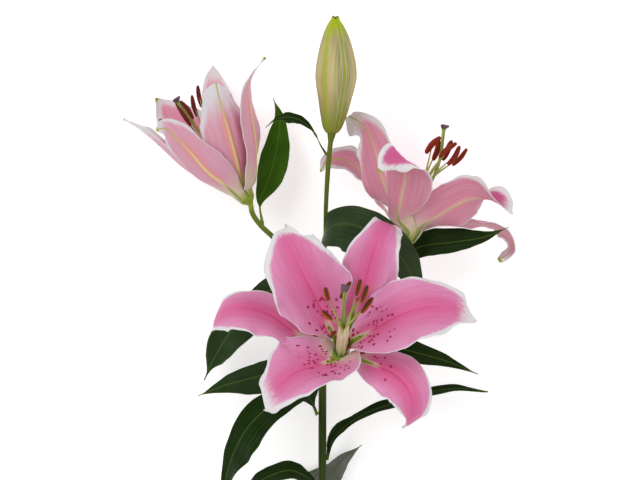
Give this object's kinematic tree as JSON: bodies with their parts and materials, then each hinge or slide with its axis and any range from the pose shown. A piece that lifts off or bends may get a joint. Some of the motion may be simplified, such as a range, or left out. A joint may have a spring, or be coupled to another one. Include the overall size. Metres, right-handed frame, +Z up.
{
  "type": "cut lily",
  "caption": "Cut flowering lily stem lying on its back, with open pink blooms, a closed bud and lance-shaped leaves.",
  "frame": {"origin": "middle of the lily's outline, on the surface that it lies on", "axes": "+Y along the stem from its cut end to the bud, +Z up from the surface, +X to the right seen from above"},
  "size_m": [0.3173, 0.5293, 0.1721],
  "materials": {
    "stem": "satin",
    "leaf": "satin",
    "bud": "satin",
    "inner_tepal": "satin",
    "outer_tepal": "satin",
    "heart": "satin"
  },
  "bodies": {
    "root": {"stem": "stem", "bud": "bud", "leaf_01": "leaf", "leaf_02": "leaf", "leaf_03": "leaf", "leaf_04": "leaf", "leaf_05": "leaf", "leaf_06": "leaf", "leaf_07": "leaf", "leaf_08": "leaf", "leaf_09": "leaf", "leaf_10": "leaf", "leaf_11": "leaf", "leaf_12": "leaf", "leaf_13": "leaf", "front_bloom_inner_tepal_1": "inner_tepal", "front_bloom_outer_tepal_1": "outer_tepal", "front_bloom_inner_tepal_2": "inner_tepal", "front_bloom_outer_tepal_2": "outer_tepal", "front_bloom_inner_tepal_3": "inner_tepal", "front_bloom_outer_tepal_3": "outer_tepal", "front_bloom_pistil_and_stamens": "heart", "left_bloom_inner_tepal_1": "inner_tepal", "left_bloom_outer_tepal_1": "outer_tepal", "left_bloom_inner_tepal_2": "inner_tepal", "left_bloom_outer_tepal_2": "outer_tepal", "left_bloom_inner_tepal_3": "inner_tepal", "left_bloom_outer_tepal_3": "outer_tepal", "left_bloom_pistil_and_stamens": "heart", "right_bloom_inner_tepal_1": "inner_tepal", "right_bloom_outer_tepal_1": "outer_tepal", "right_bloom_inner_tepal_2": "inner_tepal", "right_bloom_outer_tepal_2": "outer_tepal", "right_bloom_inner_tepal_3": "inner_tepal", "right_bloom_outer_tepal_3": "outer_tepal", "right_bloom_pistil_and_stamens": "heart"}
  },
  "joints": []
}
